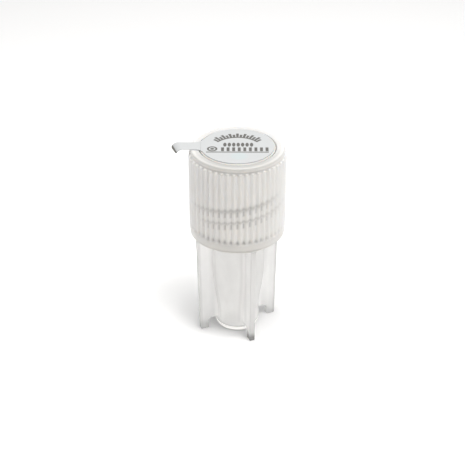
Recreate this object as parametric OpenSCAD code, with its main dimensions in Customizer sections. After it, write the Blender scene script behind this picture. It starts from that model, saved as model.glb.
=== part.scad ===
// Self-standing screw-top indicator vial.
// A finned tube holds a test disc. Its closure is a ribbed ring that turns round a plug. The plug holds
// a sealed dose of liquid, a plunger that pierces the seal, and a peel-off label with a pull tab.
// The origin is on the tube's axis at floor level, +Z is up, and the pull tab points along -X.

/* [Tube] */
// Outer radius of the tube near the floor
tube_low_r = 4.65; // [4.45:0.05:4.8]
// Outer radius of the tube under the neck
tube_high_r = 5.8; // [5.6:0.1:6]
// Wall thickness of the tube
tube_wall = 0.8; // [0.6:0.1:0.9]
// Rounding of the tube's bottom edge
base_round = 1.1; // [0.8:0.1:1.3]
// Height where the tube starts to widen
flare_low_z = 3.5; // [2.8:0.1:6]
// Height where the tube stops widening
flare_high_z = 15; // [13:0.1:18]

/* [Neck] */
// Outer radius of the neck
neck_r = 7.55; // [7.4:0.05:7.6]
// Radius of the bore in the neck
neck_bore_r = 6.65; // [6.55:0.05:6.75]
// Height where the tube steps out to the neck
neck_low_z = 22; // [21.5:0.1:22.2]
// Height of the open mouth
mouth_z = 38; // [37:0.1:38]

/* [Fins] */
// Number of fins round the tube
fin_count = 4; // [3:1:6]
// Thickness of each fin
fin_t = 1.1; // [0.8:0.1:1.4]
// Distance of a fin's outer edge from the axis at the floor
fin_low_r = 8.65; // [8.3:0.05:8.8]
// The same distance at the fin's top
fin_high_r = 9.15; // [8.9:0.05:9.15]
// Gap between the fins' tops and the closure ring
fin_gap = 0.5; // [0.3:0.1:1]
// Angle of the first fin from the -Y direction, towards +X
fin_turn = 22.3; // [0:0.1:45]
// Distance from the axis to the inner side of a foot
foot_in_r = 6.8; // [6.5:0.1:7.1]
// Height of the notch between a foot and the tube
notch_h = 2.5; // [1.5:0.1:3.5]

/* [Thread] */
// Axial distance between neighbouring ridges
thread_pitch = 2.8; // [2.6:0.1:3]
// Number of thread starts
thread_starts = 3; // [2:1:4]
// How far each ridge runs round the neck, in degrees
thread_sweep = 240; // [180:12:264]
// Angle where the first ridge starts, from +X towards +Y
thread_turn = -147; // [-147:6:-123]
// Height of the lowest end of the neck's ridges
thread_low_z = 29.25; // [28:0.05:30]
// Height of a ridge on the neck, measured outwards
neck_ridge = 0.9; // [0.7:0.05:0.95]
// Height of a ridge in the closure ring, measured inwards
ring_ridge = 0.8; // [0.6:0.05:0.85]
// Axial play between meshing flanks
flank_play = 0.12; // [0.05:0.01:0.2]

/* [Closure ring] */
// Radius over the ribs; the grooves are cut into it
ring_r = 10; // [9.9:0.05:10.2]
// Height of the ring's bottom edge
ring_low_z = 23.3; // [23.1:0.1:23.6]
// Height of the ring's top rim
ring_top_z = 42.78; // [42.7:0.02:42.9]
// Radius of the bore
ring_bore_r = 8.75; // [8.7:0.05:8.8]
// Inner radius of the top lip
lip_in_r = 7.9; // [7.85:0.05:8.1]
// Rounding of the top shoulder
shoulder_round = 0.8; // [0.5:0.05:0.85]
// Number of grip ribs
rib_count = 48; // [36:6:60]
// Depth of the grooves between the ribs
rib_depth = 0.4; // [0.3:0.02:0.46]
// Height where the ribs start
rib_low_z = 25.1; // [24.9:0.1:25.6]
// Height where the ribs end
rib_top_z = 41.9; // [41.4:0.1:41.9]

/* [Plug] */
// Radius of the plug inside the neck
plug_r = 6.4; // [6.3:0.05:6.45]
// Radius of the plug's bore
plug_bore_r = 5.4; // [5.2:0.05:5.5]
// Radius of the plug's head, inside the ring's lip
head_r = 7.8; // [7.6:0.05:7.8]
// Radius of the shoulder that the ring turns on
collar_r = 8.68; // [8.6:0.02:8.68]
// Thickness of that shoulder
collar_t = 1; // [0.8:0.05:1.1]
// Height of the plug's sealed lower end
plug_low_z = 30.7; // [30:0.1:31.5]
// Thickness of the foil across that end
foil_t = 0.1; // [0.05:0.01:0.2]
// Outer radius of the vent filter on the mouth
filter_r = 7.5; // [7.2:0.05:7.6]
// Thickness of the vent filter
filter_t = 0.5; // [0.3:0.05:0.6]
// Depth of the liquid dose
liquid_depth = 6.6; // [5:0.1:7]

/* [Plunger] */
// Radius of the plunger's head
piston_r = 5.33; // [5.1:0.01:5.35]
// Height of the plunger's top
piston_top_z = 41.6; // [41.2:0.1:42]
// Thickness of the plunger's head
piston_t = 2.7; // [2.4:0.1:3]
// Outer radius of the hollow spike
spike_r = 1.2; // [1:0.1:1.5]
// Bore of the hollow spike
spike_bore_r = 0.7; // [0.5:0.05:0.9]
// Gap between the spike's point and the foil
spike_gap = 0.5; // [0.3:0.1:1]

/* [Label] */
// Radius of the label
label_r = 7.45; // [7.3:0.01:7.55]
// Thickness of the label sheet
label_t = 0.2; // [0.15:0.01:0.25]
// Width of the pull tab
tab_w = 3.1; // [2.8:0.1:3.6]
// Distance from the axis where the tab's middle line starts to bend down
tab_bend_x = 11.55; // [11.2:0.05:11.7]
// Radius of that bend, along the middle of the sheet
tab_bend_r = 1.25; // [1:0.05:1.35]
// How far the tab's end is bent down, in degrees
tab_bend_angle = 88; // [60:2:90]
// Angle between the bend's line and the tab's width, in degrees
tab_lean = 18; // [0:1:22]

/* [Test disc] */
// Radius of the test disc at the bottom of the tube
disc_r = 1.9; // [1.6:0.1:2]
// Thickness of the test disc
disc_t = 0.35; // [0.2:0.05:0.5]
// How far the loose disc lies from the axis, towards -X
disc_shift = 1.5; // [0:0.1:1.5]

/* [Hidden] */
$fn = 96;

// Gap between pieces that only touch
hair = 0.02;
// Depth to which a joined shape is sunk into its neighbour
embed = 0.3;
// How far a cutting shape reaches past what it cuts
past = 1;

// Tube and neck
floor_t = 0.9;
inner_round = 0.5;
neck_rise = 1.8;
neck_wall_rise = 0.4;
mouth_round = 0.25;
fin_top_z = ring_low_z - fin_gap;
foot_round = 0.9;
tip_round = 0.3;

// Thread: the angle between two sections of a ridge, its profile, and how far its ends fade
step_angle = 6;
thread_lead = thread_pitch * thread_starts;
ridge_root_w = 1.2;
ridge_crest_w = 0.6;
ridge_fade = 18;
ridge_end_height = 0.3;
ring_flank_slope = (ridge_root_w - ridge_crest_w) / 2 / (ring_ridge + embed);
// Half widths of a neck ridge and a ring ridge where they pass closest, plus the play
mesh_drop = ridge_crest_w / 2 + ridge_root_w / 2
    - ring_flank_slope * (ring_bore_r + embed - neck_r - neck_ridge) + flank_play;

// Closure ring: the lip above the plug's collar, the bead below it, and the plain band at the bottom
lip_t = 1.78;
collar_play = 0.05;
lip_low_z = ring_top_z - lip_t;
collar_top_z = lip_low_z - collar_play;
collar_low_z = collar_top_z - collar_t;
bead_r = 8.45;
bead_top_z = collar_low_z - 0.2;
bead_h = 0.6;
bead_lead = 0.15;
band_r = ring_r - 0.15;
band_h = 1.4;
band_round = 0.3;
flank_r = ring_r - 0.05;
flank_h = 3;
// Radius of the smooth shoulder above the ribs, just inside the bottoms of the grooves
shoulder_r = ring_r - rib_depth - 0.04;
rib_end_h = 0.35;
// The bore opens wider at the bottom, past the fins, so that the fins pass through a hole the ring rests on
lead_in = 0.5;
lead_in_h = 1;

// Plug and plunger
clamp_z = mouth_z + filter_t;
cup_lead_in = 0.3;
head_edge = 0.15;
foil_r = plug_r - 0.05;
dose_well_r = spike_r + hair;
spike_tip_z = plug_low_z + spike_gap;
piston_low_z = piston_top_z - piston_t;
piston_edge = 0.2;
dish_r = 4.3;
dish_depth = 0.5;
oring_t = 0.9;
oring_z = (piston_top_z + piston_low_z) / 2;
oring_in_r = piston_r - 0.5;
oring_soft = 0.2;
port_r = 0.4;
port_z = piston_low_z - 1.6;

// Label and tab
label_z = ring_top_z + hair;
tab_root_x = label_r + hair;
root_half_w = 2;
root_len = 0.9;
root_blend = 0.7;
root_flare = 0.9;
tab_corner = 0.4;
tab_blank = 16;

// Points of a circular arc about the point c, from angle a to angle b
function arc(c, r, a, b, n = 6) =
    [for (i = [0 : n]) let (t = a + (b - a) * i / n) [c[0] + r * cos(t), c[1] + r * sin(t)]];

// A smooth change from 0 to 1 as z goes from low to high
function ease(z, low, high) =
    (1 - cos(180 * min(1, max(0, (z - low) / (high - low))))) / 2;

// Outer radius of the tube below the neck, at height z
function tube_r(z) = tube_low_r + (tube_high_r - tube_low_r) * ease(z, flare_low_z, flare_high_z);

// The tube's widening stretch as points, moved inwards by the given distance
function flare(inset, n = 9) =
    [for (i = [0 : n]) let (z = flare_low_z + (flare_high_z - flare_low_z) * i / n) [tube_r(z) - inset, z]];

function reversed(list) = [for (i = [len(list) - 1 : -1 : 0]) list[i]];

// Outer radius of the tube and neck at height z
function outside_r(z) =
    z < neck_low_z ? tube_r(z)
    : min(neck_r, tube_high_r + (neck_r - tube_high_r) * (z - neck_low_z) / neck_rise);

module tube_shell() {
    outside = concat(
        [[0, 0]],
        arc([tube_low_r - base_round, base_round], base_round, -90, 0),
        flare(0),
        [[tube_high_r, neck_low_z], [neck_r, neck_low_z + neck_rise]],
        arc([neck_r - mouth_round, mouth_z - mouth_round], mouth_round, 0, 90, 4)
    );
    inside_low_r = tube_low_r - tube_wall;
    inside = concat(
        [[0, floor_t]],
        arc([inside_low_r - inner_round, floor_t + inner_round], inner_round, -90, 0),
        flare(tube_wall),
        [[tube_high_r - tube_wall, neck_low_z + neck_wall_rise]],
        [[neck_bore_r, neck_low_z + neck_wall_rise + neck_rise]],
        arc([neck_bore_r + mouth_round, mouth_z - mouth_round], mouth_round, 180, 90, 4)
    );
    rotate_extrude() polygon(concat(outside, reversed(inside)));
}

// One fin, seen from the side: its inner edge is buried in the wall
module fin_outline() {
    buried = tube_wall / 2;
    inner_edge = concat(
        [[tube_low_r - buried, notch_h]],
        flare(buried),
        [[tube_high_r - buried, neck_low_z], [outside_r(fin_top_z) - buried, fin_top_z]]
    );
    outer_edge = concat(
        arc([fin_high_r - tip_round, fin_top_z - tip_round], tip_round, 90, 0, 4),
        [[fin_low_r, tip_round], [fin_low_r - tip_round, 0], [foot_in_r, 0]],
        arc([foot_in_r - foot_round, notch_h - foot_round], foot_round, 0, 90, 5)
    );
    polygon(concat(inner_edge, outer_edge));
}

module fins() {
    for (i = [0 : fin_count - 1])
        rotate([90, 0, fin_turn - 90 + i * 360 / fin_count])
            linear_extrude(height = fin_t, center = true) fin_outline();
}

// A helical ridge from radius root_r to crest_r; it can point outwards or inwards
module ridge(root_r, crest_r, low_z, sweep) {
    steps = round(sweep / step_angle);
    outward = crest_r > root_r;
    base_r = root_r + (outward ? -embed : embed);
    sections = [
        for (i = [0 : steps])
            let (
                angle = i * step_angle,
                from_end = min(angle, sweep - angle),
                fade = min(1, ridge_end_height + (1 - ridge_end_height) * from_end / ridge_fade),
                tip_r = root_r + (crest_r - root_r) * fade,
                z = low_z + thread_lead * angle / 360,
                profile = [
                    [base_r, -ridge_root_w / 2], [tip_r, -ridge_crest_w / 2],
                    [tip_r, ridge_crest_w / 2], [base_r, ridge_root_w / 2]
                ]
            )
            [for (p = profile) [p[0] * cos(angle), p[0] * sin(angle), z + p[1]]]
    ];
    points = [for (s = sections) for (p = s) p];
    sides = [
        for (i = [0 : steps - 1]) for (k = [0 : 3])
            let (a = 4 * i + k, b = 4 * i + (k + 1) % 4)
            each [[a, b, a + 4], [b, b + 4, a + 4]]
    ];
    last = 4 * steps;
    ends = [[2, 1, 0], [3, 2, 0], [last, last + 1, last + 2], [last, last + 2, last + 3]];
    faces = concat(sides, ends);
    polyhedron(points = points, faces = outward ? faces : [for (f = faces) reversed(f)]);
}

module ridges(root_r, crest_r, low_z, sweep) {
    for (i = [0 : thread_starts - 1])
        rotate(thread_turn + i * 360 / thread_starts) ridge(root_r, crest_r, low_z, sweep);
}

module vial_body() {
    color([0.9, 0.92, 0.92, 0.55])
        union() {
            tube_shell();
            fins();
            ridges(neck_r, neck_r + neck_ridge, thread_low_z, thread_sweep);
        }
}

// The test disc lies on the tube's floor
module spore_carrier() {
    color([0.82, 0.84, 0.82])
        translate([-disc_shift, 0, floor_t + hair]) cylinder(r = disc_r, h = disc_t);
}

module ring_envelope() {
    rotate_extrude() polygon(concat(
        [[ring_bore_r + lead_in, ring_low_z], [band_r - band_round, ring_low_z]],
        [[band_r, ring_low_z + band_round], [flank_r, ring_low_z + band_h]],
        [[ring_r, ring_low_z + flank_h], [ring_r, rib_top_z - rib_end_h], [shoulder_r, rib_top_z]],
        arc([shoulder_r - shoulder_round, ring_top_z - shoulder_round], shoulder_round, 0, 90, 8),
        [[lip_in_r, ring_top_z], [lip_in_r, lip_low_z], [ring_bore_r, lip_low_z]],
        [[ring_bore_r, bead_top_z], [bead_r, bead_top_z - bead_lead], [bead_r, bead_top_z - bead_h / 2]],
        [[ring_bore_r, bead_top_z - bead_h], [ring_bore_r, ring_low_z + lead_in_h + lead_in]],
        [[ring_bore_r + lead_in, ring_low_z + lead_in_h]]
    ));
}

// The outline of the ribs in plan: rounded crests with narrower grooves between them.
// The crests stand past the ring's radius, so that the ring's own surface trims them.
module rib_outline() {
    points_per_rib = 8;
    trim = 0.06;
    total = rib_count * points_per_rib;
    polygon([
        for (i = [0 : total - 1])
            let (
                phase = (i % points_per_rib) / points_per_rib,
                wave = pow(abs(sin(180 * phase)), 0.6),
                r = ring_r + trim - (rib_depth + trim) * (1 - wave),
                angle = 360 * i / total
            )
            [r * cos(angle), r * sin(angle)]
    ]);
}

module ring_grooves() {
    translate([0, 0, rib_low_z])
        linear_extrude(height = rib_top_z - rib_low_z)
            difference() {
                circle(r = ring_r + past);
                rib_outline();
            }
}

module cap_ring() {
    color([0.91, 0.9, 0.88, 0.9])
        union() {
            difference() {
                ring_envelope();
                ring_grooves();
            }
            ridges(ring_bore_r, ring_bore_r - ring_ridge, thread_low_z - mesh_drop, thread_sweep);
        }
}

module reservoir_cup() {
    color([0.93, 0.93, 0.9])
        rotate_extrude() polygon([
            [plug_bore_r, plug_low_z], [plug_r, plug_low_z], [plug_r, clamp_z], [head_r, clamp_z],
            [head_r, collar_low_z], [collar_r, collar_low_z], [collar_r, collar_top_z],
            [head_r, collar_top_z], [head_r, ring_top_z - head_edge], [head_r - head_edge, ring_top_z],
            [plug_bore_r + cup_lead_in, ring_top_z], [plug_bore_r, ring_top_z - cup_lead_in]
        ]);
}

module foil_seal() {
    color([0.78, 0.79, 0.8])
        translate([0, 0, plug_low_z - foil_t]) cylinder(r = foil_r, h = foil_t);
}

// The liquid dose leaves room for the spike's point
module growth_medium() {
    color([0.93, 0.9, 0.8, 0.5])
        difference() {
            translate([0, 0, plug_low_z]) cylinder(r = plug_bore_r - hair, h = liquid_depth);
            translate([0, 0, spike_tip_z - foil_t]) cylinder(r = dose_well_r, h = liquid_depth + past);
        }
}

// The filter ring is bonded under the plug's flange and rests on the mouth
module vent_filter() {
    color([0.96, 0.96, 0.95])
        translate([0, 0, mouth_z])
            difference() {
                cylinder(r = filter_r, h = filter_t);
                translate([0, 0, -past]) cylinder(r = plug_r + hair, h = filter_t + 2 * past);
            }
}

module piston_head() {
    half = oring_t / 2;
    rotate_extrude() polygon([
        [0, piston_low_z], [piston_r - piston_edge, piston_low_z], [piston_r, piston_low_z + piston_edge],
        [piston_r, oring_z - half], [oring_in_r, oring_z - half], [oring_in_r, oring_z + half],
        [piston_r, oring_z + half], [piston_r, piston_top_z - piston_edge],
        [piston_r - piston_edge, piston_top_z],
        [dish_r, piston_top_z], [dish_r - dish_depth, piston_top_z - dish_depth],
        [0, piston_top_z - dish_depth]
    ]);
}

// A hollow needle: its end is cut on the slant, and two side ports let the liquid out
module spike() {
    length = piston_low_z - spike_tip_z;
    slant = 45;
    cutter = 10;
    difference() {
        translate([0, 0, spike_tip_z]) cylinder(r = spike_r, h = length + embed);
        translate([0, 0, spike_tip_z - past]) cylinder(r = spike_bore_r, h = length + past - embed);
        translate([-spike_r, 0, spike_tip_z])
            rotate([0, 90 - slant, 0]) translate([0, -cutter / 2, -cutter]) cube(cutter);
        translate([0, 0, port_z]) rotate([90, 0, 0]) cylinder(r = port_r, h = 4 * spike_r, center = true);
    }
}

module plunger() {
    color([0.95, 0.95, 0.93])
        union() {
            piston_head();
            spike();
        }
}

module plunger_seal() {
    half = oring_t / 2 - hair;
    in_r = oring_in_r + hair;
    out_r = plug_bore_r - hair;
    color([0.35, 0.36, 0.38])
        rotate_extrude() polygon([
            [in_r, oring_z - half], [out_r - oring_soft, oring_z - half], [out_r, oring_z - half + oring_soft],
            [out_r, oring_z + half - oring_soft], [out_r - oring_soft, oring_z + half], [in_r, oring_z + half]
        ]);
}

// Plan outline from the label's edge along the tab; the root is widest where it meets the label
module tab_plan() {
    half_w = tab_w / 2;
    steps = 6;
    root = [
        for (i = [0 : steps])
            let (t = i / steps)
            [-tab_root_x - root_len * t, half_w + (root_half_w - half_w) * pow(1 - t, 2)]
    ];
    upper = concat(root, [[-tab_blank, half_w]]);
    lower = [for (p = reversed(upper)) [p[0], -p[1]]];
    polygon(concat(upper, lower));
}

module label_disc() {
    color([0.95, 0.96, 0.97])
        translate([0, 0, label_z])
            linear_extrude(height = label_t)
                union() {
                    circle(r = label_r);
                    polygon([
                        [-label_r, root_half_w], [-label_r, -root_half_w],
                        [-label_r + root_blend, -root_half_w - root_flare],
                        [-label_r + root_blend, root_half_w + root_flare]
                    ]);
                }
}

// Side view of the sheet: flat over the rim, then bending down. It is as long as needed on the label's side.
module tab_side() {
    bend_c = [-tab_bend_x * cos(tab_lean), label_z + label_t / 2 - tab_bend_r];
    under_r = tab_bend_r - label_t / 2;
    over_r = tab_bend_r + label_t / 2;
    polygon(concat(
        [[0, label_z], [0, label_z + label_t]],
        arc(bend_c, over_r, 90, 90 + tab_bend_angle, 8),
        reversed(arc(bend_c, under_r, 90, 90 + tab_bend_angle, 8))
    ));
}

// End view of the tab: it rounds the two corners of the hanging end
module tab_front() {
    low_z = label_z + label_t / 2 - tab_bend_r + (tab_bend_r - label_t / 2) * cos(tab_bend_angle);
    side_y = root_half_w + past;
    corner_y = tab_w / 2 - tab_corner;
    corner_z = low_z + tab_corner;
    polygon(concat(
        [[side_y, label_z + past], [-side_y, label_z + past], [-side_y, corner_z]],
        arc([-corner_y, corner_z], tab_corner, 180, 270),
        arc([corner_y, corner_z], tab_corner, 270, 360),
        [[side_y, corner_z]]
    ));
}

module pull_tab() {
    color([0.95, 0.96, 0.97])
        intersection() {
            rotate([0, 0, tab_lean])
                translate([0, tab_blank / 2, 0])
                    rotate([90, 0, 0]) linear_extrude(height = tab_blank) tab_side();
            translate([0, 0, label_z - tab_blank / 2]) linear_extrude(height = tab_blank) tab_plan();
            translate([-tab_blank, 0, 0]) rotate([90, 0, 90]) linear_extrude(height = tab_blank) tab_front();
        }
}

vial_body();
spore_carrier();
cap_ring();
reservoir_cup();
foil_seal();
growth_medium();
vent_filter();
plunger();
plunger_seal();
label_disc();
pull_tab();
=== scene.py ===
"""Looks for the self-standing indicator vial.

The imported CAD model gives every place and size. This script builds a finer mesh for each piece, in
millimetres, gives it a procedural material and lets it ride on its CAD body.
"""

import math

import bmesh
import bpy
import numpy as np
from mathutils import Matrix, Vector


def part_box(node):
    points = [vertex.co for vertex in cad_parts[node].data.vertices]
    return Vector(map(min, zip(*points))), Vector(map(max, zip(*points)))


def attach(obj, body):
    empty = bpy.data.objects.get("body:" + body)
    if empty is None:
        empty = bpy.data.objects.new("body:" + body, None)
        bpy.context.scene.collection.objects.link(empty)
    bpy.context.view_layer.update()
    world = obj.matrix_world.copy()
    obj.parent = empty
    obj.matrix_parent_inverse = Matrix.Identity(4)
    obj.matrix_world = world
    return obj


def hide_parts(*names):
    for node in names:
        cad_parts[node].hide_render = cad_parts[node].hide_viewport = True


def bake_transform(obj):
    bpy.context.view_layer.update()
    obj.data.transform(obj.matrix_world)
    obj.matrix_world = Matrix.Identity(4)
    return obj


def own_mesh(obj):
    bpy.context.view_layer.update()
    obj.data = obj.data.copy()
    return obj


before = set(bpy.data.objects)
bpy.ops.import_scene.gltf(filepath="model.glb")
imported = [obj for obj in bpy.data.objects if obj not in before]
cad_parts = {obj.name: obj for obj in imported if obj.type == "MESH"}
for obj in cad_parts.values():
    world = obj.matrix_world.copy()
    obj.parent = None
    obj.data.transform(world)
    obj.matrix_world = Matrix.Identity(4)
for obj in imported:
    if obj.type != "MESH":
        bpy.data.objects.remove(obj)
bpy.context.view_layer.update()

MM = 0.001
COLUMNS = 192


def span_mm(node):
    """The node's lowest and highest corner, in millimetres."""
    low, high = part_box(node)
    return np.array(low) / MM, np.array(high) / MM


# ---------------------------------------------------------------- measures taken from the frame

VIAL_HIGH = span_mm("vial_body")[1]
RING_LOW, RING_HIGH = span_mm("cap_ring")
CUP_LOW, CUP_HIGH = span_mm("reservoir_cup")
FOIL_LOW, FOIL_HIGH = span_mm("foil_seal")
LIQUID_LOW, LIQUID_HIGH = span_mm("growth_medium")
FILTER_LOW, FILTER_HIGH = span_mm("vent_filter")
PLUNGER_LOW, PLUNGER_HIGH = span_mm("plunger")
SEAL_LOW, SEAL_HIGH = span_mm("plunger_seal")
LABEL_LOW, LABEL_HIGH = span_mm("label_disc")
DISC_LOW, DISC_HIGH = span_mm("spore_carrier")

MOUTH_Z = VIAL_HIGH[2]
RING_R = RING_HIGH[0]
RING_BASE_Z = RING_LOW[2]
RING_TOP_Z = RING_HIGH[2]
LABEL_R = LABEL_HIGH[0]

# Details finer than a node's box, in millimetres and degrees
TAB_HALF_W = 1.55
TAB_ROOT_HALF_W = 2.0
TAB_ROOT_LEN = 0.9
TAB_BEND_X = 11.55
TAB_BEND_R = 1.25
TAB_BEND_DEG = 84.0
TAB_LEAN_DEG = 18.0
TAB_CORNER = 0.4
TUBE_LOW_R = 4.65
TUBE_HIGH_R = 5.8
TUBE_WALL = 0.8
FLARE_LOW_Z = 3.5
FLARE_HIGH_Z = 15.0
NECK_LOW_Z = 22.0
NECK_RISE = 1.8
NECK_R = 7.55
NECK_BORE_R = 6.65
FIN_COUNT = 4
FIN_T = 1.1
FIN_TURN = 22.3
FIN_LOW_R = 8.65
FIN_HIGH_R = 9.15
FIN_TOP_Z = RING_BASE_Z - 0.5
FOOT_IN_R = 6.8
NOTCH_H = 2.5
RIB_COUNT = 48
RIB_DEPTH = 0.4
RIB_FLANK_W = 0.6
RIB_END_H = 0.35
RIB_LOW_Z = RING_BASE_Z + 1.8
RIB_TOP_Z = RING_TOP_Z - 0.88
SHOULDER_R = RING_R - RIB_DEPTH
RING_BORE_R = 8.75
RING_LEAD_IN = 0.5
BAND_H = 1.4
FLANK_H = 3.0
BEAD_R = 8.45
LIP_R = 7.9
HEAD_R = 7.8
COLLAR_TOP_Z = RING_TOP_Z - 1.83
COLLAR_LOW_Z = COLLAR_TOP_Z - 1.0
PLUG_BORE_R = 5.4
PLUG_TUBE_R = 6.4
FILTER_BORE_R = 6.42
PISTON_R = 5.33
PISTON_H = 2.7
SPIKE_R = 1.2
SPIKE_BORE_R = 0.7
SPIKE_HOLE_R = 1.22
SEAL_BORE_R = 4.85
THREAD_PITCH = 2.8
THREAD_STARTS = 3
THREAD_LEAD = THREAD_PITCH * THREAD_STARTS
THREAD_TURN = -147.0
THREAD_SWEEP = 240.0
THREAD_LOW_Z = 29.25
MESH_DROP = 0.856
PRESS_TRAVEL = 4.0
NECK_RIDGE = 0.9
RING_RIDGE = 0.8


# ---------------------------------------------------------------- mesh building

def finish_mesh(name, verts_mm, faces, body, material, sharp_deg=35.0, replaces=()):
    """A mesh object in the row frame from points in millimetres, riding on its body."""
    mesh = bpy.data.meshes.new(name)
    mesh.from_pydata((np.asarray(verts_mm, float) * MM).tolist(), [], faces)
    mesh.validate()
    work = bmesh.new()
    work.from_mesh(mesh)
    bmesh.ops.recalc_face_normals(work, faces=work.faces)
    work.to_mesh(mesh)
    work.free()
    obj = bpy.data.objects.new(name, mesh)
    bpy.context.scene.collection.objects.link(obj)
    dress(obj, material, sharp_deg)
    for node in replaces:
        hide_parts(node)
    if body:
        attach(obj, body)
    return obj


def dress(obj, material, sharp_deg):
    """Smooth shading up to an angle, rest positions for the textures, and the material."""
    mesh = obj.data
    mesh.polygons.foreach_set("use_smooth", [True] * len(mesh.polygons))
    mesh.set_sharp_from_angle(angle=math.radians(sharp_deg))
    rest = mesh.attributes.get("rest_mm") or mesh.attributes.new("rest_mm", "FLOAT_VECTOR", "POINT")
    co = np.zeros(len(mesh.vertices) * 3, np.float32)
    mesh.vertices.foreach_get("co", co)
    rest.data.foreach_set("vector", co / MM)
    mesh.materials.clear()
    mesh.materials.append(material)


def store(obj, name, values):
    """Keeps one number per vertex on the mesh, for its material to read."""
    attribute = obj.data.attributes.new(name, "FLOAT", "POINT")
    attribute.data.foreach_set("value", np.asarray(values, np.float32))


def grid_faces(rows, columns, wrap_rows):
    """Quads between neighbouring rows; every row closes on itself."""
    count = rows if wrap_rows else rows - 1
    i = np.arange(count)[:, None]
    k = np.arange(columns)[None, :]
    j = (i + 1) % rows
    m = (k + 1) % columns
    quads = np.stack([i * columns + k, i * columns + m, j * columns + m, j * columns + k], -1)
    return quads.reshape(-1, 4).tolist()


def rounded(corners, step=0.3, closed=True, arc_steps=5):
    """A dense (r, z) path through corners given as (r, z, fillet radius)."""
    count = len(corners)
    path = []
    for i, (x, z, fillet) in enumerate(corners):
        here = np.array([x, z], float)
        inner = closed or 0 < i < count - 1
        if fillet <= 0 or not inner:
            path.append(here)
            continue
        before = np.array(corners[i - 1][:2], float) - here
        after = np.array(corners[(i + 1) % count][:2], float) - here
        before_len = np.linalg.norm(before)
        after_len = np.linalg.norm(after)
        u = before / before_len
        v = after / after_len
        half = math.acos(float(np.clip(u @ v, -1, 1))) / 2
        reach = min(fillet / math.tan(half), before_len * 0.49, after_len * 0.49)
        radius = reach * math.tan(half)
        bisector = (u + v) / np.linalg.norm(u + v)
        centre = here + bisector * radius / math.sin(half)
        start = here + u * reach - centre
        end = here + v * reach - centre
        turn = math.atan2(start[0] * end[1] - start[1] * end[0], start @ end)
        for t in np.linspace(0, 1, arc_steps + 1):
            c, s = math.cos(turn * t), math.sin(turn * t)
            path.append(centre + [start[0] * c - start[1] * s, start[0] * s + start[1] * c])
    dense = []
    last = len(path) if closed else len(path) - 1
    for i in range(last):
        a = path[i]
        b = path[(i + 1) % len(path)]
        pieces = max(1, int(math.ceil(np.linalg.norm(b - a) / step)))
        dense += [a + (b - a) * k / pieces for k in range(pieces)]
    if not closed:
        dense.append(path[-1])
    return np.array(dense)


def lathe(path, columns=COLUMNS, closed=True, shape=None):
    """Points and faces of a turned solid. An open path starts and ends on the axis.
    shape(r, z, angle) may return a changed r, which is how ribs and threads are cut."""
    angles = np.linspace(0, 2 * math.pi, columns, endpoint=False)
    inner = path if closed else path[1:-1]
    r = np.repeat(inner[:, :1], columns, 1)
    z = np.repeat(inner[:, 1:], columns, 1)
    angle = np.repeat(angles[None, :], len(inner), 0)
    if shape is not None:
        r = shape(r, z, angle)
    verts = np.stack([r * np.cos(angle), r * np.sin(angle), z], -1).reshape(-1, 3)
    faces = grid_faces(len(inner), columns, closed)
    if not closed:
        start = len(verts)
        verts = np.vstack([verts, [[0, 0, path[0][1]], [0, 0, path[-1][1]]]])
        far = (len(inner) - 1) * columns
        for k in range(columns):
            m = (k + 1) % columns
            faces.append([start, k, m])
            faces.append([start + 1, far + m, far + k])
    return verts, faces


def smooth_step(t):
    t = np.clip(t, 0, 1)
    return t * t * (3 - 2 * t)


def flare_r(z):
    """Outer radius of the tube below the neck."""
    t = np.clip((z - FLARE_LOW_Z) / (FLARE_HIGH_Z - FLARE_LOW_Z), 0, 1)
    return TUBE_LOW_R + (TUBE_HIGH_R - TUBE_LOW_R) * (1 - np.cos(math.pi * t)) / 2


def flare_corners(inset, count=24):
    heights = np.linspace(FLARE_LOW_Z, FLARE_HIGH_Z, count)
    return [(float(flare_r(z)) - inset, float(z), 0) for z in heights]


def ridge_height(z, angle, low_z):
    """How much thread ridge, 0 to 1, stands at this height and angle."""
    total = np.zeros_like(z)
    for start in range(THREAD_STARTS):
        turned = np.degrees(angle) - THREAD_TURN - start * 360 / THREAD_STARTS
        along = np.mod(turned, 360)
        centre = low_z + THREAD_LEAD * along / 360
        fade = smooth_step(along / 20) * smooth_step((THREAD_SWEEP - along) / 20)
        flank = smooth_step((0.62 - np.abs(z - centre)) / 0.32)
        total = np.maximum(total, fade * flank)
    return total


# ---------------------------------------------------------------- materials

# Limits that no measure on the vial reaches, for ranges open at one end
BELOW = -1.0
BEYOND = 20.0


class Field:
    """A shader value that can be added, multiplied and compared like a number."""

    def __init__(self, tree, socket):
        self.tree = tree
        self.socket = socket

    def math(self, operation, *others):
        node = self.tree.nodes.new("ShaderNodeMath")
        node.operation = operation
        for slot_index, value in enumerate((self,) + others):
            if isinstance(value, Field):
                self.tree.links.new(value.socket, node.inputs[slot_index])
            else:
                node.inputs[slot_index].default_value = value
        return Field(self.tree, node.outputs[0])

    def __add__(self, other):
        return self.math("ADD", other)

    def __sub__(self, other):
        return self.math("SUBTRACT", other)

    def __mul__(self, other):
        return self.math("MULTIPLY", other)

    def __truediv__(self, other):
        return self.math("DIVIDE", other)

    def clamp(self):
        return self.math("MAXIMUM", 0.0).math("MINIMUM", 1.0)

    def between(self, low, high, soft=0.03):
        """1 inside the range and 0 outside, with an edge as wide as soft."""
        rise = ((self - low) / soft + 0.5).clamp()
        fall = ((self * -1.0 + high) / soft + 0.5).clamp()
        return rise * fall

    def either(self, other):
        return self.math("MAXIMUM", other)


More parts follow.
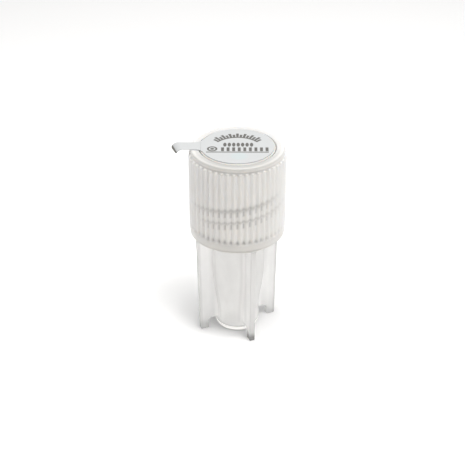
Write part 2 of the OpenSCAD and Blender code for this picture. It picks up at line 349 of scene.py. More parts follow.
class Look:
    """One material: a principled shader and short calls for its textures."""

    def __init__(self, name, color, roughness, **settings):
        self.material = bpy.data.materials.new(name)
        self.material.use_nodes = True
        self.tree = self.material.node_tree
        self.shader = self.tree.nodes["Principled BSDF"]
        self.output = self.tree.nodes["Material Output"]
        self.set("Base Color", (*color, 1.0))
        self.set("Roughness", roughness)
        for key, value in settings.items():
            self.set(key.replace("_", " "), value)
        self.rough = roughness
        self.bumps = None

    def set(self, key, value):
        self.shader.inputs[key].default_value = value

    def link(self, source, key):
        self.tree.links.new(source.socket if isinstance(source, Field) else source, self.shader.inputs[key])

    def facing(self):
        """0 where the surface faces the viewer and 1 at its outline."""
        node = self.tree.nodes.new("ShaderNodeLayerWeight")
        node.inputs["Blend"].default_value = 0.5
        return Field(self.tree, node.outputs["Facing"])

    def front(self):
        """1 on the side nearest the viewer and 0 at the left and right, whatever the surface's slope."""
        place = self.tree.nodes.new("ShaderNodeNewGeometry")
        sideways = []
        for key in ("Position", "Incoming"):
            level = self.tree.nodes.new("ShaderNodeVectorMath")
            level.operation = "MULTIPLY"
            level.inputs[1].default_value = (1.0, 1.0, 0.0)
            self.tree.links.new(place.outputs[key], level.inputs[0])
            unit = self.tree.nodes.new("ShaderNodeVectorMath")
            unit.operation = "NORMALIZE"
            self.tree.links.new(level.outputs[0], unit.inputs[0])
            sideways.append(unit.outputs[0])
        dot = self.tree.nodes.new("ShaderNodeVectorMath")
        dot.operation = "DOT_PRODUCT"
        self.tree.links.new(sideways[0], dot.inputs[0])
        self.tree.links.new(sideways[1], dot.inputs[1])
        return Field(self.tree, dot.outputs["Value"]).clamp()

    def attribute(self, name):
        node = self.tree.nodes.new("ShaderNodeAttribute")
        node.attribute_name = name
        return Field(self.tree, node.outputs["Fac"])

    def rest(self, stretch=(1.0, 1.0, 1.0)):
        """Rest position in millimetres, scaled along each axis."""
        node = self.tree.nodes.new("ShaderNodeAttribute")
        node.attribute_name = "rest_mm"
        scaled = self.tree.nodes.new("ShaderNodeVectorMath")
        scaled.operation = "MULTIPLY"
        self.tree.links.new(node.outputs["Vector"], scaled.inputs[0])
        scaled.inputs[1].default_value = stretch
        return scaled.outputs[0]

    def axes(self):
        node = self.tree.nodes.new("ShaderNodeSeparateXYZ")
        self.tree.links.new(self.rest(), node.inputs[0])
        return [Field(self.tree, node.outputs[i]) for i in range(3)]

    def noise(self, scale, detail=3.0, stretch=(1.0, 1.0, 1.0), roughness=0.55):
        node = self.tree.nodes.new("ShaderNodeTexNoise")
        node.inputs["Scale"].default_value = scale
        node.inputs["Detail"].default_value = detail
        node.inputs["Roughness"].default_value = roughness
        self.tree.links.new(self.rest(stretch), node.inputs["Vector"])
        return Field(self.tree, node.outputs["Fac"])

    def cells(self, scale, stretch=(1.0, 1.0, 1.0)):
        node = self.tree.nodes.new("ShaderNodeTexVoronoi")
        node.inputs["Scale"].default_value = scale
        self.tree.links.new(self.rest(stretch), node.inputs["Vector"])
        return Field(self.tree, node.outputs["Distance"])

    def mix(self, share, low, high):
        """A colour between two colours, each a tuple or a colour socket."""
        node = self.tree.nodes.new("ShaderNodeMix")
        node.data_type = "RGBA"
        self.tree.links.new(share.socket, node.inputs["Factor"])
        for key, value in (("A", low), ("B", high)):
            sockets = [s for s in node.inputs if s.name == key and s.type == "RGBA"]
            if isinstance(value, tuple):
                sockets[0].default_value = (*value, 1.0)
            else:
                self.tree.links.new(value, sockets[0])
        return [s for s in node.outputs if s.type == "RGBA"][0]

    def bump(self, height, distance_mm, strength=1.0):
        node = self.tree.nodes.new("ShaderNodeBump")
        node.inputs["Distance"].default_value = distance_mm * MM
        node.inputs["Strength"].default_value = strength
        self.tree.links.new(height.socket, node.inputs["Height"])
        if self.bumps is not None:
            self.tree.links.new(self.bumps, node.inputs["Normal"])
        self.bumps = node.outputs[0]
        self.tree.links.new(self.bumps, self.shader.inputs["Normal"])

    def blend_shaders(self, share, first, second):
        node = self.tree.nodes.new("ShaderNodeMixShader")
        if isinstance(share, Field):
            self.tree.links.new(share.socket, node.inputs[0])
        else:
            node.inputs[0].default_value = share
        self.tree.links.new(first, node.inputs[1])
        self.tree.links.new(second, node.inputs[2])
        return node.outputs[0]

    def vary_roughness(self, field, amount):
        self.link((field - 0.5) * amount + self.rough, "Roughness")

    def color(self, socket):
        self.tree.links.new(socket, self.shader.inputs["Base Color"])


def natural_polymer():
    """Milky polypropylene of the ribbed ring, with painted light that makes it paler towards its outline
    and in the thin grooves. ring_tones() stores painted shade: the thread lines that show through it and
    the darker shoulder, lip and hem."""
    look = Look("natural_polymer", (0.72, 0.70, 0.66), 0.48, IOR=1.49)
    look.set("Subsurface Weight", 0.75)
    look.set("Subsurface Scale", 0.001)
    look.set("Subsurface Radius", (1.0, 0.92, 0.82))
    front = look.front()
    sideways = front * -1.0 + 1.0
    cloud = look.noise(0.35, 2.0)
    flow = look.noise(0.9, 3.0, (1.0, 1.0, 0.12))
    front_tone = look.mix(cloud * 0.75 + flow * 0.25, (0.67, 0.653, 0.624), (0.71, 0.697, 0.672))
    # Painted light: the tone turns paler towards the left and right, away from the front.
    tone = look.mix(sideways, front_tone, (0.855, 0.845, 0.835))
    # Painted light: the thin grooves are brightened on the front, as light through a thinner wall would.
    thin = look.attribute("thin").clamp() * front.math("POWER", 4.0) * 0.4
    tone = look.mix(thin, tone, (0.97, 0.96, 0.94))
    # Painted shade: the top face by the lip is greyed, most on the front.
    lip = look.attribute("lip").clamp() * (front * 0.5 + 0.4)
    tone = look.mix(lip, tone, (0.46, 0.46, 0.45))
    # Painted shade darkens the tone, on the front only and all round.
    shade = look.attribute("shade") * front.math("POWER", 1.6) + look.attribute("all_round_shade")
    look.color(look.mix(shade.clamp(), tone, (0.22, 0.21, 0.195)))
    look.bump(look.noise(7.0, 4.0), 0.006, 0.4)
    look.bump(look.noise(1.2, 2.0, (1.0, 1.0, 0.2)), 0.008, 0.15)
    look.vary_roughness(look.noise(1.6, 4.0), 0.16)
    return look.material


def fin_distance(x, y):
    """Distance from the middle plane of the nearest fin."""
    lean = math.radians(FIN_TURN)
    along = x * math.cos(lean) + y * math.sin(lean)
    across = y * math.cos(lean) - x * math.sin(lean)
    return along.math("ABSOLUTE").math("MINIMUM", across.math("ABSOLUTE"))


def clear_tone(look, z, radius, off_fin, base):
    """Colour of the tube, with painted shade along the outlines, fin edges and fin roots, a painted shadow
    on the foot nearest the viewer and a painted highlight on the base rim.
    """
    rise = ((z - FLARE_LOW_Z) / (FLARE_HIGH_Z - FLARE_LOW_Z)).clamp()
    past_wall = radius - (rise * (TUBE_HIGH_R - TUBE_LOW_R) + TUBE_LOW_R)
    fin_edge_r = z / FIN_TOP_Z * (FIN_HIGH_R - FIN_LOW_R) + FIN_LOW_R
    outside = past_wall.between(-TUBE_WALL / 2, BEYOND, 0.2)
    # Painted shade along the outlines, the fin edges and the fin roots.
    outline = look.facing().math("POWER", 3.0) * outside * 0.32
    root = off_fin.between(1.1, 1.6, 0.4) * past_wall.between(-TUBE_WALL / 2, 0.4, 0.2)
    root = root * z.between(NOTCH_H, FIN_TOP_Z + 2, 0.5) * 0.26
    fin_edge = ((radius - fin_edge_r + 0.62) / 0.3).clamp() * 0.34
    # Painted shadow on the foot nearest the viewer.
    foot = z.between(BELOW, 1.6, 1.2) * radius.between(FOOT_IN_R - 0.3, BEYOND, 0.3)
    foot = foot * look.front().math("POWER", 2.0) * 0.9
    streaks = look.noise(0.6, 3.0, (1.0, 1.0, 0.3))
    tone = look.mix(streaks, (0.90, 0.895, 0.885), (0.94, 0.935, 0.925))
    tone = look.mix(fin_edge.either(outline).either(root).clamp(), tone, (0.55, 0.54, 0.53))
    tone = look.mix(foot, tone, (0.22, 0.22, 0.21))
    # Painted highlight on the base rim.
    return look.mix(base * 0.9, tone, (1.0, 0.985, 0.95))


def clear_polymer():
    """Hazy polypropylene of the tube: part of the light scatters in it, and a faint painted glow, strongest
    on the base rim and low in the tube, stands in for a thin wall lit from behind. Its foot sends little
    light to the floor, for a contact shadow."""
    look = Look("clear_polymer", (0.985, 0.98, 0.975), 0.22, IOR=1.16, Transmission_Weight=1.0)
    look.bump(look.noise(0.8, 2.0, (1.0, 1.0, 0.25)), 0.03, 0.35)
    look.bump(look.noise(9.0, 3.0), 0.006, 0.35)
    look.vary_roughness(look.noise(0.7, 3.0, (1.0, 1.0, 0.3)), 0.12)
    x, y, z = look.axes()
    radius = (x * x + y * y).math("SQRT")
    base = z.between(BELOW, 1.25, 0.3) * radius.between(3.5, TUBE_LOW_R + 0.1, 0.15)
    tone = clear_tone(look, z, radius, fin_distance(x, y), base)
    tree = look.tree
    path = tree.nodes.new("ShaderNodeLightPath")
    from_floor = Field(tree, path.outputs["Is Diffuse Ray"])
    tone = look.mix(from_floor * z.between(BELOW, 1.8, 1.2) * 0.7, tone, (0.10, 0.10, 0.10))
    scatter = []
    for kind in ("ShaderNodeBsdfDiffuse", "ShaderNodeBsdfTranslucent"):
        node = tree.nodes.new(kind)
        tree.links.new(tone, node.inputs["Color"])
        tree.links.new(look.bumps, node.inputs["Normal"])
        scatter.append(node.outputs[0])
    milk = look.blend_shaders(0.45, *scatter)
    haze = look.noise(0.5, 3.0, (1.0, 1.0, 0.4)) * 0.12 + 0.46 + (radius - 6.0).clamp() * 0.10 + base * 0.45
    both = look.blend_shaders(haze, look.shader.outputs[0], milk)
    # Painted glow: emission on the base rim, low in the tube and faintly all over.
    low_tube = ((z * -1.0 + 8.0) / 8.0).clamp() * radius.between(BELOW, TUBE_LOW_R + 0.8, 0.4)
    glow = tree.nodes.new("ShaderNodeEmission")
    tree.links.new(tone, glow.inputs["Color"])
    tree.links.new((base * 0.30 + low_tube * 0.10 + 0.05).socket, glow.inputs["Strength"])
    total = tree.nodes.new("ShaderNodeAddShader")
    tree.links.new(both, total.inputs[0])
    tree.links.new(glow.outputs[0], total.inputs[1])
    tree.links.new(total.outputs[0], look.output.inputs["Surface"])
    return look.material


def print_marks(look):
    """Generic marks on the label: a dial of ticks, a row of dots, and a plain scale with a line under it
    and a small ring at its left end. No lettering."""
    x, y, _ = look.axes()
    dial_y = y + 1.5
    radius = (x * x + dial_y * dial_y).math("SQRT")
    turn = x.math("ARCTAN2", dial_y)
    step = math.radians(7.0)
    tick_no = turn / step + 0.5
    long_tick = ((turn / (step * 2) + 0.25).math("FRACT")).between(-0.01, 0.5, 0.01)
    tick = tick_no.math("FRACT").between(0.14, 0.84, 0.06)
    reach = (long_tick * 0.5 + 6.35) - radius
    within = turn.between(-7.5 * step, 7.5 * step, 0.01)
    arc = reach.between(0.0, 9.0, 0.04) * radius.between(5.25, 9.0, 0.04) * within * tick
    rail = radius.between(4.95, 5.35, 0.05) * within
    dot_x = ((x - 0.15) / 0.9 + 0.5).math("FRACT") - 0.5
    dot = (dot_x * dot_x + (y - 0.42) * (y - 0.42) * 0.2).math("SQRT").between(-1.0, 0.38, 0.06)
    dots = dot * x.between(-3.0, 3.3, 0.02)
    bar = ((x + 4.6) / 1.12).math("FRACT").between(0.16, 0.68, 0.06)
    scale = bar * x.between(-3.6, 6.5, 0.02) * y.between(-2.4, -0.75, 0.05)
    rule = y.between(-2.95, -2.6, 0.05) * x.between(-6.3, 6.3)
    knob = ((x + 5.1) * (x + 5.1) + (y + 1.4) * (y + 1.4)).math("SQRT")
    ring = knob.between(-1.0, 1.05, 0.06) * (knob.between(0.4, 0.66, 0.06) * -1.0 + 1.0)
    return arc.either(rail).either(dots).either(scale).either(rule).either(ring)


def label_film(name):
    """Coated white film with generic print and a pale indicator patch."""
    look = Look(name, (0.62, 0.64, 0.645), 0.42, IOR=1.46)
    look.set("Coat Weight", 0.25)
    look.set("Coat Roughness", 0.28)
    x, y, z = look.axes()
    paper = look.mix(look.noise(0.5, 4.0), (0.54, 0.553, 0.557), (0.572, 0.585, 0.59))
    patch = ((x - 0.3) * (x - 0.3) + (y + 4.5) * (y + 4.5) * 1.4).math("SQRT")
    patch = patch.between(-1.0, 1.7, 0.9) * (look.noise(2.2, 3.0) * 0.4 + 0.1)
    tinted = look.mix(patch.clamp(), paper, (0.48, 0.62, 0.63))
    face_up = z.between(LABEL_HIGH[2] - 0.06, LABEL_HIGH[2] + 1.0, 0.02)
    ink_break = (look.noise(6.0, 2.0) * 0.35 + 0.72).clamp()
    ink = (print_marks(look) * face_up * ink_break).clamp()
    inked = look.mix(ink, tinted, (0.07, 0.065, 0.055))
    # Darker tip of the tab: partly the foil backing of its cut end, partly painted shade under the bent
    # tip.
    edge = look.attribute("edge").clamp()
    done = look.mix(edge, inked, (0.10, 0.095, 0.075))
    look.color(done)
    look.bump(look.noise(5.0, 5.0), 0.012, 0.4)
    look.bump(look.noise(0.4, 2.0), 0.05, 0.3)
    look.vary_roughness(look.noise(3.0, 3.0), 0.14)
    return look.material


def moulded(name, color, roughness, milky=0.2):
    """Plain moulded polymer for the inner pieces: mould grain, flow lines and roughness that varies in
    patches.
    """
    look = Look(name, color, roughness, IOR=1.5, Subsurface_Weight=milky, Subsurface_Scale=0.0006)
    darker = tuple(c * 0.93 for c in color)
    tone = look.mix(look.noise(0.8, 4.0), darker, color)
    look.color(tone)
    look.bump(look.noise(10.0, 3.0), 0.01, 0.5)
    look.bump(look.noise(1.5, 2.0), 0.02, 0.3)
    look.vary_roughness(look.noise(2.5, 4.0), 0.2)
    return look.material


def foil():
    """Heat-sealed foil: fine rolling lines, shallow creases and a knurled seal band."""
    look = Look("foil", (0.80, 0.81, 0.82), 0.28, Metallic=1.0)
    x, y, _ = look.axes()
    radius = (x * x + y * y).math("SQRT")
    knurl = ((x + y) * 2.2).math("SINE") * ((x - y) * 2.2).math("SINE") * radius.between(5.3, 6.4, 0.1)
    look.bump(knurl, 0.05, 0.6)
    look.bump(look.cells(0.55), 0.05, 0.4)
    look.bump(look.noise(14.0, 2.0, (0.05, 1.0, 1.0)), 0.006, 0.6)
    look.vary_roughness(look.noise(1.2, 4.0), 0.2)
    return look.material


def pale_liquid():
    look = Look("pale_liquid", (0.97, 0.95, 0.88), 0.02, IOR=1.333, Transmission_Weight=1.0)
    look.bump(look.noise(0.6, 1.0), 0.02, 0.2)
    look.vary_roughness(look.noise(0.6, 2.0), 0.02)
    return look.material


def felt(name, color):
    """Fibres pressed into a sheet, used for the filter and the test disc."""
    look = Look(name, color, 0.9, Sheen_Weight=0.3)
    fibre = look.noise(7.0, 5.0, (1.0, 0.25, 1.0)).math("MAXIMUM", look.noise(7.0, 5.0, (0.25, 1.0, 1.0)))
    tone = look.mix(fibre, tuple(c * 0.86 for c in color), tuple(min(1.0, c * 1.05) for c in color))
    look.color(tone)
    look.bump(fibre, 0.06, 0.9)
    return look.material


def elastomer():
    look = Look("seal_rubber", (0.10, 0.105, 0.115), 0.55, IOR=1.52)
    bloom = look.noise(1.4, 5.0)
    tone = look.mix(bloom, (0.085, 0.09, 0.10), (0.15, 0.155, 0.165))
    look.color(tone)
    look.bump(look.noise(12.0, 3.0), 0.01, 0.6)
    look.vary_roughness(bloom, 0.25)
    return look.material


# ---------------------------------------------------------------- pieces

def neck_shape(r, z, angle):
    """Adds the neck's thread to the outside of the tube."""
    outside = (r > NECK_R - 0.05) & (z > NECK_LOW_Z + NECK_RISE) & (z < MOUTH_Z - 0.4)
    return r + NECK_RIDGE * ridge_height(z, angle, THREAD_LOW_Z) * outside


def tube_points():
    """The tube and neck as one turned shell with a closed bottom."""
    low_in = TUBE_LOW_R - TUBE_WALL
    corners = [(0, 0, 0), (TUBE_LOW_R, 0, 1.1)]
    corners += flare_corners(0)
    corners += [(TUBE_HIGH_R, NECK_LOW_Z, 0.8), (NECK_R, NECK_LOW_Z + NECK_RISE, 0.5)]
    corners += [(NECK_R, MOUTH_Z, 0.3), (NECK_BORE_R, MOUTH_Z, 0.3)]
    corners += [(NECK_BORE_R, NECK_LOW_Z + 0.4 + NECK_RISE, 0.6)]
    corners += [(TUBE_HIGH_R - TUBE_WALL, NECK_LOW_Z + 0.4, 0.8)]
    corners += flare_corners(TUBE_WALL)[::-1]
    corners += [(low_in, 0.9, 0.6), (0, 0.9, 0)]
    return lathe(rounded(corners, step=0.2, closed=False), shape=neck_shape)


def fin_side():
    """A fin from the side: points (distance from the axis, height) round its outline."""
    buried = TUBE_WALL / 2
    outer = [(FIN_HIGH_R, FIN_TOP_Z, 0.3), (FIN_LOW_R, 0.0, 0.28), (FOOT_IN_R, 0.0, 0.15)]
    notch = [(FOOT_IN_R, NOTCH_H, 0.9), (TUBE_LOW_R - buried, NOTCH_H, 0)]
    wall = flare_corners(buried, 10)
    top = [(TUBE_HIGH_R - buried, NECK_LOW_Z, 0), (TUBE_HIGH_R + 0.2, FIN_TOP_Z, 0)]
    return rounded(outer + notch + wall + top, step=1.2, arc_steps=6)


def fin_object(index):
    """One fin plate with rounded edges, as a temporary object to be joined to the tube."""
    side = fin_side()
    work = bmesh.new()
    angle = math.radians(FIN_TURN - 90 + index * 360 / FIN_COUNT)
    along = np.array([math.cos(angle), math.sin(angle), 0])
    across = np.array([-math.sin(angle), math.cos(angle), 0])
    sheets = []
    for offset in (-FIN_T / 2, FIN_T / 2):
        points = [along * r + across * offset + np.array([0, 0, z]) for r, z in side]
        sheets.append([work.verts.new(tuple(p * MM)) for p in points])
    work.faces.new(sheets[0])
    work.faces.new(sheets[1][::-1])
    count = len(side)
    for i in range(count):
        j = (i + 1) % count
        work.faces.new([sheets[0][j], sheets[0][i], sheets[1][i], sheets[1][j]])
    bmesh.ops.recalc_face_normals(work, faces=work.faces)
    rims = [e for e in work.edges if e.calc_face_angle(0) > math.radians(60)]
    bmesh.ops.bevel(work, geom=rims, offset=0.13 * MM, segments=3, profile=0.5, affect="EDGES")
    mesh = bpy.data.meshes.new("fin")
    work.to_mesh(mesh)
    work.free()
    obj = bpy.data.objects.new("fin", mesh)
    bpy.context.scene.collection.objects.link(obj)
    return obj


def join(obj, others):
    """Fuses the other objects into obj, exactly, and removes them."""
    for other in others:
        modifier = obj.modifiers.new("join", "BOOLEAN")
        modifier.operation = "UNION"
        modifier.solver = "EXACT"
        modifier.object = other
    bpy.context.view_layer.update()
    graph = bpy.context.evaluated_depsgraph_get()
    fused = bpy.data.meshes.new_from_object(obj.evaluated_get(graph))
    obj.modifiers.clear()
    obj.data = fused
    for other in others:
        bpy.data.objects.remove(other)


def make_vial(material):
    verts, faces = tube_points()
    vial = finish_mesh("vial_shell", verts, faces, None, material)
    join(vial, [fin_object(i) for i in range(FIN_COUNT)])
    dress(vial, material, 40.0)
    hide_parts("vial_body")
    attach(vial, "vial")
    return vial


def rib_share(z, angle):
    """Height of the grip ribs, 0 to 1: round-topped ribs whose grooves run out at the plain band."""
    half_pitch = math.pi * RING_R / RIB_COUNT
    crest = half_pitch - RIB_FLANK_W
    from_groove = np.abs(np.mod(angle * RING_R + half_pitch, 2 * half_pitch) - half_pitch)
    above = np.maximum(0, z - (RIB_TOP_Z - half_pitch))
    from_rib = np.hypot(half_pitch - from_groove, above)
    top = 1 - smooth_step((from_rib - crest) / RIB_FLANK_W)
    below = np.maximum(0, RIB_LOW_Z + RIB_FLANK_W - z)
    bottom = smooth_step(np.hypot(from_groove, below) / RIB_FLANK_W)
    return np.where(z > (RIB_LOW_Z + RIB_TOP_Z) / 2, top, bottom)


def ring_shape(r, z, angle):
    """Cuts the grooves outside and raises the thread inside."""
    outside = (r > SHOULDER_R) & (z < RIB_TOP_Z + 0.001)
    bore = (r < RING_BORE_R + 0.02) & (z > RING_BASE_Z + 1.3) & (z < COLLAR_LOW_Z - 1.2)
    depth = np.minimum(RIB_DEPTH * (1 - rib_share(z, angle)), np.maximum(0, r - SHOULDER_R)) * outside
    ridge = RING_RIDGE * ridge_height(z, angle, THREAD_LOW_Z - MESH_DROP) * bore
    return r - depth - ridge


def make_ring(material):
    """The closure ring as one turned section: lead-in, band, ribbed wall, shoulder, lip and snap bead."""
    low, top = RING_BASE_Z, RING_TOP_Z
    bead_z = COLLAR_LOW_Z - 0.2
    seat_z = COLLAR_TOP_Z + 0.05
    corners = [
        (RING_BORE_R + RING_LEAD_IN, low, 0.1),
        (RING_R - 0.15, low, 0.3),
        (RING_R - 0.05, low + BAND_H, 0.6),
        (RING_R, low + FLANK_H, 1.0),
        (RING_R, RIB_TOP_Z - RIB_END_H, 0.25),
        (SHOULDER_R, RIB_TOP_Z, 0),
        (SHOULDER_R, top, 0.8),
        (LIP_R, top, 0.2),
        (LIP_R, seat_z, 0.15),
        (RING_BORE_R, seat_z, 0.15),
        (RING_BORE_R, bead_z, 0.05),
        (BEAD_R, bead_z - 0.15, 0.1),
        (BEAD_R, bead_z - 0.3, 0.1),
        (RING_BORE_R, bead_z - 0.6, 0.1),
        (RING_BORE_R, low + 1.5, 0.1),
        (RING_BORE_R + RING_LEAD_IN, low + 1.0, 0.1),
    ]
    path = rounded(corners, step=0.14, arc_steps=8)
    verts, faces = lathe(path, columns=RIB_COUNT * 14, shape=ring_shape)
    ring = finish_mesh("closure_ring", verts, faces, "ring", material, 50.0, ["cap_ring"])
    for name, values in ring_tones(verts).items():
        store(ring, name, values)
    return ring


def thread_lines(angle, z):
    """Painted shade for the neck's ridges as seen through the wall, and for the band under each where only
    grooves darken.
    """
    line = np.zeros_like(z)
    under = np.zeros_like(z)
    seen_low_z = THREAD_LOW_Z - MESH_DROP + 0.9
    for start in range(THREAD_STARTS):
        along = np.mod(np.degrees(angle) - THREAD_TURN - start * 360 / THREAD_STARTS, 360)
        centre = seen_low_z + THREAD_LEAD * along / 360
        fade = smooth_step((along + 5) / 25) * smooth_step((THREAD_SWEEP + 5 - along) / 25)
        upper = smooth_step((along - 90) / 60)
        soft = 0.34 + 0.12 * upper
        line = np.maximum(line, fade * (0.78 + 0.15 * upper) * np.exp(-((z - centre) / soft) ** 2))
        below = smooth_step((centre - z - 0.35) / 0.2) * smooth_step((z - centre + 1.75) / 0.3)
        under = np.maximum(under, fade * below)
    return line, under


def ring_tones(verts):
    """Painted light and shade on the ring, one number per point. "shade" is painted shade on its front
    only, the next entry painted shade all round, "thin" painted light that brightens the grooves and "lip"
    painted shade that greys the top face."""
    radius = np.hypot(verts[:, 0], verts[:, 1])
    angle = np.arctan2(verts[:, 1], verts[:, 0])
    z = verts[:, 2]
    groove = 1 - rib_share(z, angle)
    outside = (radius > SHOULDER_R - 0.1) & (z < RIB_TOP_Z)
    # Painted shade of the thread seen through the wall.
    line, under = thread_lines(angle, z)
    # Painted shade in the pockets where the grooves end, and along the bottom edge (hem).
    pocket = (0.3 + 0.7 * groove) * np.exp(-((z - RIB_LOW_Z - 0.5) / 0.6) ** 2)
    hem = smooth_step((RING_BASE_Z + 0.8 - z) / 0.5)
    # Darker over the plain band below the ribs.
    plain_band = smooth_step((RIB_LOW_Z + 0.2 - z) / 0.3)
    # Painted shade that dims the rib tops, which the lamps overhead light brightly.
    rib_ends = (radius > SHOULDER_R - 0.01) & (z < RIB_TOP_Z + 0.001)
    crest = rib_ends * smooth_step((z - RIB_TOP_Z + 0.8) / 0.4)
    # Painted shade on the rounded shoulder and, on the top face, in the gap inside the lip.
    shoulder = smooth_step((z - RIB_TOP_Z + 0.1) / 0.1) * smooth_step((RING_TOP_Z - 0.03 - z) / 0.1)
    shoulder = shoulder * (radius > 8.8) * (1 - 0.75 * smooth_step((RING_TOP_Z - 0.3 - z) / 0.3))
    top_face = z > RING_TOP_Z - 0.3
    inner_edge = top_face * smooth_step((LIP_R + 0.34 - radius) / 0.2)
    # Painted shade on the front: thread lines, darker grooves under them, groove ends and hem.
    front_shade = 0.50 * line + 0.42 * under * groove ** 2 + 0.66 * pocket + 0.34 * hem
    return {
        "shade": outside * front_shade + 0.42 * crest,
        "all_round_shade": 0.10 * outside * plain_band + 0.22 * shoulder + 0.16 * inner_edge,
        "thin": outside * groove,
        "lip": top_face * (0.62 + 0.38 * smooth_step((8.95 - radius) / 0.2)),
    }


def label_edge_r(angle):
    """Distance from the axis to the label's outline: round, with a flared root for the tab."""
    off = np.abs(np.mod(angle, 2 * math.pi) - math.pi)
    root = math.atan2(TAB_ROOT_HALF_W, LABEL_R)
    straight = LABEL_R / np.cos(np.minimum(off, root))
    beyond = np.clip((off - root) / 0.13, 0, 1)
    return np.where(off < root, straight, LABEL_R + (straight - LABEL_R) * (1 - beyond) ** 2)


def make_label(material):
    """The label sheet: a flat disc with rolled edges and, at the left, a flared root for the tab."""
    angles = np.linspace(0, 2 * math.pi, COLUMNS, endpoint=False)
    edge = label_edge_r(angles)
    low, high = LABEL_LOW[2], LABEL_HIGH[2]
    shares = np.concatenate([np.linspace(0.03, 0.97, 34), [0.985, 0.993]])
    rows = []
    for share in shares:
        rows.append((edge * share, np.full(COLUMNS, high)))
    rows.append((edge - 0.02, np.full(COLUMNS, high - 0.02)))
    rows.append((edge, np.full(COLUMNS, high - 0.07)))
    rows.append((edge, np.full(COLUMNS, low + 0.03)))
    rows.append((edge - 0.03, np.full(COLUMNS, low)))
    for share in shares[::-1]:
        rows.append((edge * share, np.full(COLUMNS, low)))
    verts = []
    for radius, height in rows:
        verts.append(np.stack([radius * np.cos(angles), radius * np.sin(angles), height], -1))
    verts = np.concatenate(verts)
    faces = grid_faces(len(rows), COLUMNS, False)
    centre = len(verts)
    verts = np.vstack([verts, [[0, 0, high], [0, 0, low]]])
    last = (len(rows) - 1) * COLUMNS
    for k in range(COLUMNS):
        m = (k + 1) % COLUMNS
        faces.append([centre, k, m])
        faces.append([centre + 1, last + m, last + k])
    label = finish_mesh("label_sheet", verts, faces, None, material, 45.0, ["label_disc"])
    store(label, "edge", np.zeros(len(verts)))
    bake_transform(label)
    return label


def fold(points):
    """Bends flat sheet points round the tab's leaning fold. Each is (x, y, height above mid-sheet)."""
    lean = math.radians(TAB_LEAN_DEG)
    c, s = math.cos(lean), math.sin(lean)
    across = -points[:, 0] * s + points[:, 1] * c
    outward = -(points[:, 0] * c + points[:, 1] * s)
    fold_at = TAB_BEND_X * c
    turn = np.maximum(0, outward - fold_at) / TAB_BEND_R
    flat = np.minimum(outward, fold_at)
    reach = flat + (TAB_BEND_R + points[:, 2]) * np.sin(turn)
    z = (LABEL_LOW[2] + LABEL_HIGH[2]) / 2 - TAB_BEND_R + (TAB_BEND_R + points[:, 2]) * np.cos(turn)
    return np.stack([-reach * c - across * s, -reach * s + across * c, z], -1)


def tab_half_width(t):
    """Half the tab's width at the share t of its length from the root."""
    return TAB_HALF_W + (TAB_ROOT_HALF_W - TAB_HALF_W) * np.maximum(0, 1 - t / TAB_ROOT_LEN) ** 2


def make_tab(material):
    """The pull tab: a strip with a flared root, and a tip that bends down on a leaning fold."""
    lean = math.radians(TAB_LEAN_DEG)
    thick = (LABEL_HIGH[2] - LABEL_LOW[2]) / 2
    fold_at = TAB_BEND_X * math.cos(lean)
    end_at = fold_at + TAB_BEND_R * math.radians(TAB_BEND_DEG)
    root_x = LABEL_R + 0.005
    around = 40
    turn = 2 * math.pi * np.arange(around) / around
    side = np.sign(np.cos(turn)) * np.abs(np.cos(turn)) ** 0.3
    lift = thick * np.sign(np.sin(turn)) * np.abs(np.sin(turn)) ** 0.3
    rows, dark = [], []
    near_end = 1 - (1 - np.linspace(0.2, 1, 40)) ** 1.6
    for share in np.concatenate([np.linspace(0, 0.18, 14), near_end]):
        half_w = tab_half_width(share * (TAB_BEND_X - root_x))
        y = half_w * side
        end_x = end_at / math.cos(lean) + y * math.tan(lean)
        x = root_x + (end_x - root_x) * share
        over = np.clip((x - end_x + TAB_CORNER) / TAB_CORNER, 0, 0.999)
        y = y - np.sign(y) * TAB_CORNER * (1 - np.sqrt(1 - over ** 2)) * np.abs(side)
        rows.append(fold(np.stack([-x, y, lift], -1)))
        # Darker tip: partly foil backing, partly painted shade under the bend.
        dark.append(smooth_step((x - end_x + 0.7) / 0.25))
    verts = np.concatenate(rows)
    faces = grid_faces(len(rows), around, False)
    faces.append(list(range(around))[::-1])
    faces.append([(len(rows) - 1) * around + k for k in range(around)])
    tab = finish_mesh("pull_tab_strip", verts, faces, None, material, 50.0, ["pull_tab"])
    store(tab, "edge", np.concatenate(dark))
    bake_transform(tab)
    return tab


def make_plug(material):
    clamp_z = MOUTH_Z + 0.5
    low, top = CUP_LOW[2], CUP_HIGH[2]
    collar_r = CUP_HIGH[0]
    corners = [
        (PLUG_BORE_R, low, 0.1),
        (PLUG_TUBE_R, low, 0.15),
        (PLUG_TUBE_R, clamp_z, 0.15),
        (HEAD_R, clamp_z, 0.15),
        (HEAD_R, COLLAR_LOW_Z, 0.12),
        (collar_r, COLLAR_LOW_Z, 0.12),
        (collar_r, COLLAR_TOP_Z, 0.12),
        (HEAD_R, COLLAR_TOP_Z, 0.15),
        (HEAD_R, top, 0.2),
        (PLUG_BORE_R + 0.3, top, 0.12),
        (PLUG_BORE_R, top - 0.3, 0.12),
    ]
    verts, faces = lathe(rounded(corners, step=0.5))
    return finish_mesh("plug_cup", verts, faces, "plug", material, 40.0, ["reservoir_cup"])


def make_foil(material):
    low, high = FOIL_LOW[2], FOIL_HIGH[2]
    r = FOIL_HIGH[0]
    corners = [(0, low, 0), (r, low, 0.03), (r, high, 0.03), (0, high, 0)]
    verts, faces = lathe(rounded(corners, step=0.35, closed=False))
    return finish_mesh("foil_sheet", verts, faces, "plug", material, 40.0, ["foil_seal"])


